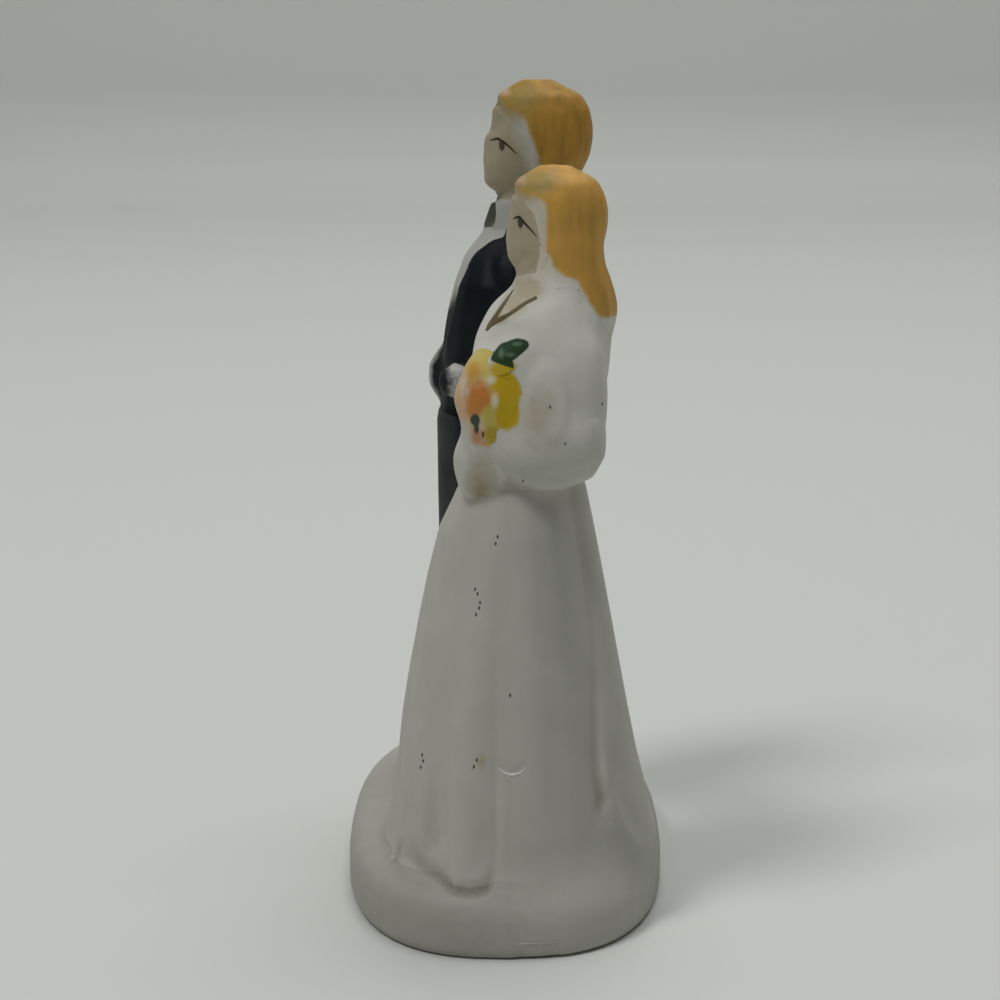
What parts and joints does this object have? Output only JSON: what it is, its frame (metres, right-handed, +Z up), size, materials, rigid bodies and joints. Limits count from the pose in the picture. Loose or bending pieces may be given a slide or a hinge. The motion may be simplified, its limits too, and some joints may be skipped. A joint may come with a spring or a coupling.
{
  "type": "cake topper figurine",
  "caption": "Painted bisque porcelain bride and groom standing side by side on an oval plinth, made to stand on top of a wedding cake.",
  "frame": {"origin": "middle of the plinth's flat underside", "axes": "+Z up, +X from the groom towards the bride, the couple faces -Y"},
  "size_m": [0.07, 0.04, 0.1004],
  "materials": {
    "white_bisque": "matt unglazed bisque",
    "flesh_bisque": "matt bisque with a thin flesh tint",
    "hair_paint": "thin satin golden paint over bisque",
    "coat_paint": "satin blue-black paint over bisque",
    "trouser_paint": "satin charcoal paint over bisque",
    "cravat_paint": "satin grey paint over bisque",
    "yellow_bloom": "thin yellow paint over bisque",
    "orange_bloom": "thin orange paint over bisque",
    "leaf_green": "thin green paint over bisque"
  },
  "bodies": {
    "root": {"base_plinth": "white_bisque", "bride_skirt": "white_bisque", "bride_train": "white_bisque", "bride_bodice": "white_bisque", "bride_left_veil_edge": "white_bisque", "bride_right_veil_edge": "white_bisque", "bride_veil": "white_bisque", "bride_left_sleeve_puff": "white_bisque", "bride_right_sleeve_puff": "white_bisque", "bride_left_sleeve_flounce": "white_bisque", "bride_right_sleeve_flounce": "white_bisque", "posy_body": "white_bisque", "posy_ribbon": "white_bisque", "groom_shirt_front": "white_bisque", "groom_waistcoat": "white_bisque", "groom_collar": "white_bisque", "bride_head": "flesh_bisque", "groom_head": "flesh_bisque", "bride_left_hand": "flesh_bisque", "bride_right_hand": "flesh_bisque", "groom_left_hand": "flesh_bisque", "groom_right_hand": "flesh_bisque", "bride_hair": "hair_paint", "groom_hair": "hair_paint", "groom_coat": "coat_paint", "groom_coat_tails": "coat_paint", "groom_left_sleeve": "coat_paint", "groom_right_sleeve": "coat_paint", "groom_left_shoe": "coat_paint", "groom_right_shoe": "coat_paint", "groom_trousers": "trouser_paint", "groom_cravat": "cravat_paint", "posy_yellow_bloom": "yellow_bloom", "posy_upper_bloom": "yellow_bloom", "posy_front_bloom": "yellow_bloom", "posy_orange_bloom": "orange_bloom", "posy_lower_bloom": "orange_bloom", "posy_leaf": "leaf_green"}
  },
  "joints": []
}
